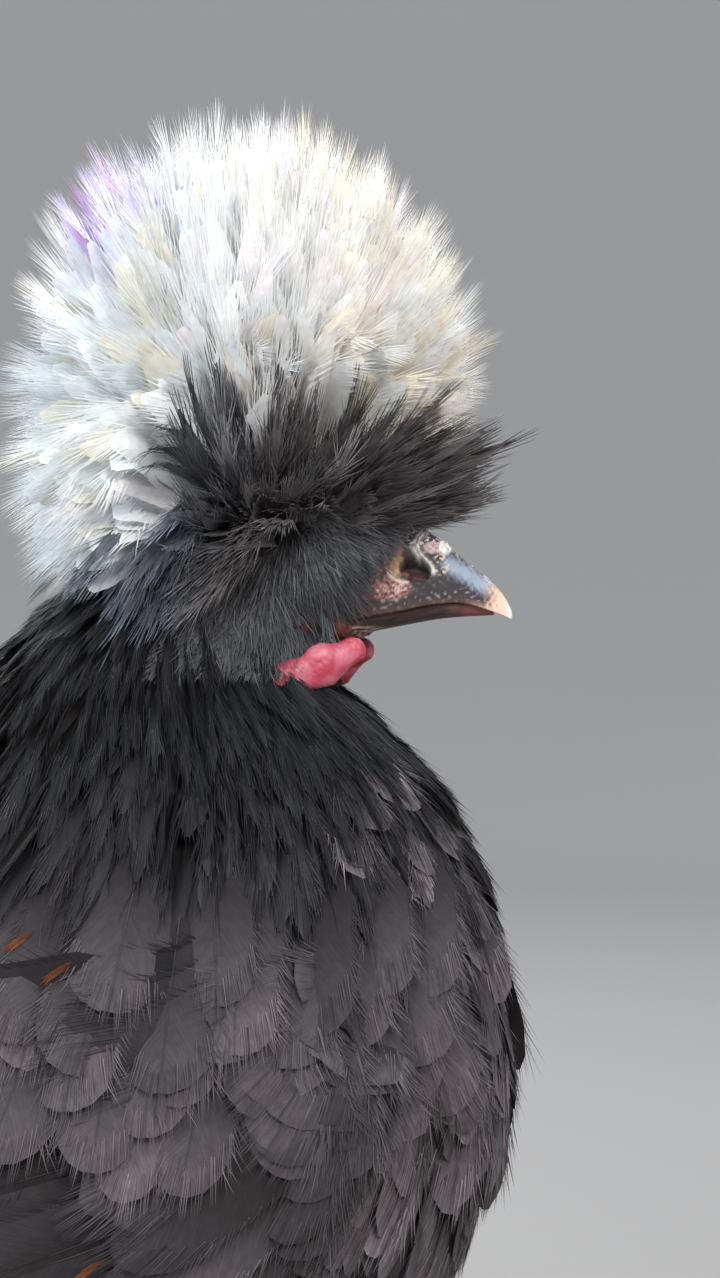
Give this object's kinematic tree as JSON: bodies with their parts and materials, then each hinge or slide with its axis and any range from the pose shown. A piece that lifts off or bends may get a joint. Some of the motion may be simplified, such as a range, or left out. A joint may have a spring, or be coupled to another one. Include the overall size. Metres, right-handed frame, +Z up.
{
  "type": "polish crested chicken",
  "caption": "Standing crested hen model: white globe crest over a dark base, small wattles, black plumage, slate legs and toes, folded wings and raised tail.",
  "frame": {"origin": "on the floor, under the middle of the bounding box", "axes": "+X towards the beak, +Z up, the hen's right side faces -Y"},
  "size_m": [0.3276, 0.1578, 0.4237],
  "materials": {
    "white_feather": "soft matte",
    "black_feather": "soft sheen",
    "face_skin": "matte",
    "wattle": "satin",
    "earlobe": "satin",
    "beak": "satin horn",
    "eye": "wet gloss",
    "shank": "satin scales",
    "claw": "satin horn"
  },
  "bodies": {
    "root": {"beak_lower": "beak", "beak_upper": "beak", "claw_back_left": "claw", "claw_back_right": "claw", "claw_inner_left": "claw", "claw_inner_right": "claw", "claw_middle_left": "claw", "claw_middle_right": "claw", "claw_outer_left": "claw", "claw_outer_right": "claw", "crest_black": "black_feather", "crest_white": "white_feather", "earlobe_left": "earlobe", "earlobe_right": "earlobe", "eye_left": "eye", "eye_right": "eye", "head": "face_skin", "neck": "black_feather", "shank_left": "shank", "shank_right": "shank", "tail": "black_feather", "thigh_left": "black_feather", "thigh_right": "black_feather", "toe_back_left": "shank", "toe_back_right": "shank", "toe_inner_left": "shank", "toe_inner_right": "shank", "toe_middle_left": "shank", "toe_middle_right": "shank", "toe_outer_left": "shank", "toe_outer_right": "shank", "torso": "black_feather", "wattle_left": "wattle", "wattle_right": "wattle", "wing_left": "black_feather", "wing_right": "black_feather"}
  },
  "joints": []
}
